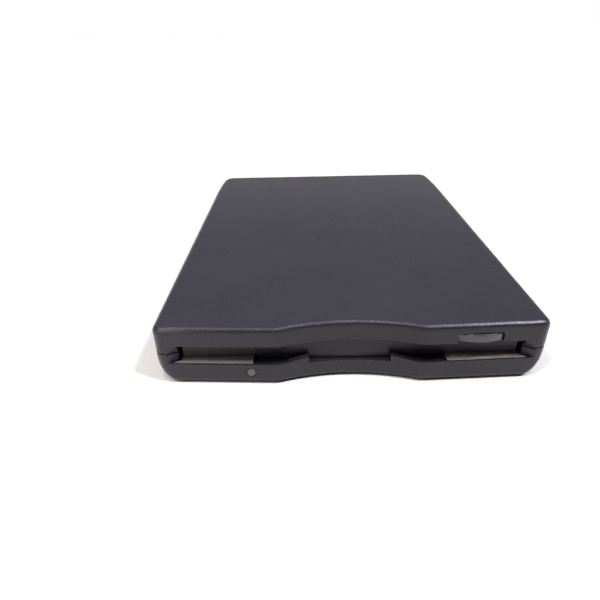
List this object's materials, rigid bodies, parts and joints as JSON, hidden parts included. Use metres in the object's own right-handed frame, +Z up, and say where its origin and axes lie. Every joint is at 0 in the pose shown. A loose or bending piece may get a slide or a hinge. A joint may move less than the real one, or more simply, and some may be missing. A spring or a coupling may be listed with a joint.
{
  "type": "external floppy disk drive",
  "caption": "Slim external drive for 90 mm floppy disks: two-part moulded housing with a scooped front, flared disk slot, dust door and eject button round a working drive mechanism.",
  "frame": {"origin": "middle of the outline seen from above, on the surface the feet stand on", "axes": "+X to the right seen from the front, +Y to the back (the disk slot faces -Y), +Z up"},
  "size_m": [0.104, 0.142, 0.0178],
  "materials": {
    "shell_top": "fine matte grain",
    "shell_bottom": "fine matte grain",
    "door_plastic": "smooth matte",
    "button_plastic": "smooth satin",
    "rubber": "matte",
    "lens": "smoky, moulded light pipe",
    "led": "clear resin on a small board",
    "zinc_steel": "zinc-plated sheet",
    "spring_steel": "drawn wire",
    "screw_steel": "plated",
    "shaft_steel": "ground",
    "bronze": "sintered",
    "copper": "enamelled wire",
    "magnet": "bonded ferrite",
    "rotor_steel": "pressed and plated",
    "board": "solder resist",
    "chip": "moulded resin",
    "engineering_plastic": "glass-filled",
    "head_ceramic": "polished ferrite and ceramic",
    "pale_plastic": "smooth",
    "part_ceramic": "fired ceramic",
    "crystal_can": "drawn can",
    "cable_plastic": "flat film cable",
    "contact": "plated"
  },
  "bodies": {
    "housing": {"top_cover": "shell_top", "bottom_cover": "shell_bottom", "rubber_feet": "rubber", "case_screws": "screw_steel", "chassis_screws": "screw_steel", "light_pipe": "lens", "drive_led": "led", "chassis": "zinc_steel", "top_shield": "zinc_steel", "motor_board": "board", "stator_coils": "copper", "spindle_bearing": "bronze", "guide_rods": "shaft_steel", "rod_clamps": "engineering_plastic", "stepper_motor": "rotor_steel", "screw_bracket": "zinc_steel", "track_zero_sensor": "chip", "switch_blocks": "engineering_plastic", "drive_board": "board", "drive_chips": "chip", "flat_cable": "cable_plastic", "interface_board": "board", "board_screws": "screw_steel", "board_passives": "part_ceramic", "board_capacitors": "crystal_can", "bridge_chip": "chip", "crystal": "crystal_can", "cable_socket": "rotor_steel", "socket_tongue": "contact"},
    "slider": {"slider_plate": "zinc_steel", "eject_button": "button_plastic", "eject_springs": "spring_steel"},
    "holder": {"disk_holder": "zinc_steel", "lever_post": "shaft_steel", "lever_spring": "spring_steel"},
    "lever": {"shutter_lever": "zinc_steel"},
    "door": {"dust_door": "door_plastic", "door_springs": "spring_steel"},
    "spindle": {"rotor_cup": "rotor_steel", "rotor_magnet": "magnet", "hub_table": "rotor_steel", "spindle_shaft": "shaft_steel", "drive_pin": "shaft_steel"},
    "carriage": {"head_carriage": "engineering_plastic", "lower_head": "head_ceramic"},
    "arm": {"head_arm": "zinc_steel", "upper_head": "head_ceramic", "arm_pin": "shaft_steel"},
    "screw": {"lead_screw": "shaft_steel"},
    "write_protect_switch": {"write_protect_plunger": "pale_plastic"},
    "density_switch": {"density_plunger": "pale_plastic"},
    "disk_switch": {"disk_plunger": "pale_plastic"}
  },
  "joints": [
    {"name": "eject_slide", "type": "slide", "parent": "housing", "child": "slider", "axis": [0, -1, 0], "range_m": [0, 0.005], "deforming": ["eject_springs"]},
    {"name": "holder_drop", "type": "slide", "parent": "housing", "child": "holder", "axis": [0, 0, -1], "range_m": [0, 0.002]},
    {"name": "shutter_lever_pivot", "type": "hinge", "parent": "holder", "child": "lever", "pos_m": [-0.04, 0.01705, 0.0127], "axis": [0, 0, 1], "range_deg": [0, 80], "stiffness_Nm_per_rad": 0.002, "deforming": ["lever_spring"]},
    {"name": "dust_door_hinge", "type": "hinge", "parent": "housing", "child": "door", "pos_m": [0, -0.06635, 0.0129], "axis": [-1, 0, 0], "range_deg": [-88, 0], "stiffness_Nm_per_rad": 0.0006, "springref_deg": 20.05},
    {"name": "spindle_spin", "type": "hinge", "parent": "housing", "child": "spindle", "pos_m": [0, -0.016, 0.0055], "axis": [0, 0, 1], "continuous": true},
    {"name": "head_travel", "type": "slide", "parent": "housing", "child": "carriage", "axis": [0, -1, 0], "range_m": [0, 0.0148]},
    {"name": "lead_screw_spin", "type": "hinge", "parent": "housing", "child": "screw", "pos_m": [0.027, 0.043, 0.0086], "axis": [0, 1, 0], "range_deg": [0, 1780]},
    {"name": "upper_head_lift", "type": "hinge", "parent": "carriage", "child": "arm", "pos_m": [0, 0.0485, 0.0114], "axis": [1, 0, 0], "range_deg": [0, 9.2]},
    {"name": "write_protect_press", "type": "slide", "parent": "housing", "child": "write_protect_switch", "axis": [0, 0, -1], "range_m": [0, 0.0016], "stiffness_N_per_m": 60, "springref_m": -0.0004},
    {"name": "density_press", "type": "slide", "parent": "housing", "child": "density_switch", "axis": [0, 0, -1], "range_m": [0, 0.0016], "stiffness_N_per_m": 60, "springref_m": -0.0004},
    {"name": "disk_press", "type": "slide", "parent": "housing", "child": "disk_switch", "axis": [0, 0, -1], "range_m": [0, 0.0016], "stiffness_N_per_m": 60, "springref_m": -0.0004}
  ],
  "couplings": [
    {"joint": "holder_drop", "follows": "eject_slide", "ratio": 0.4},
    {"joint": "upper_head_lift", "follows": "eject_slide", "rad_per_m": 32.114},
    {"joint": "lead_screw_spin", "follows": "head_travel", "rad_per_m": 2094.4}
  ]
}
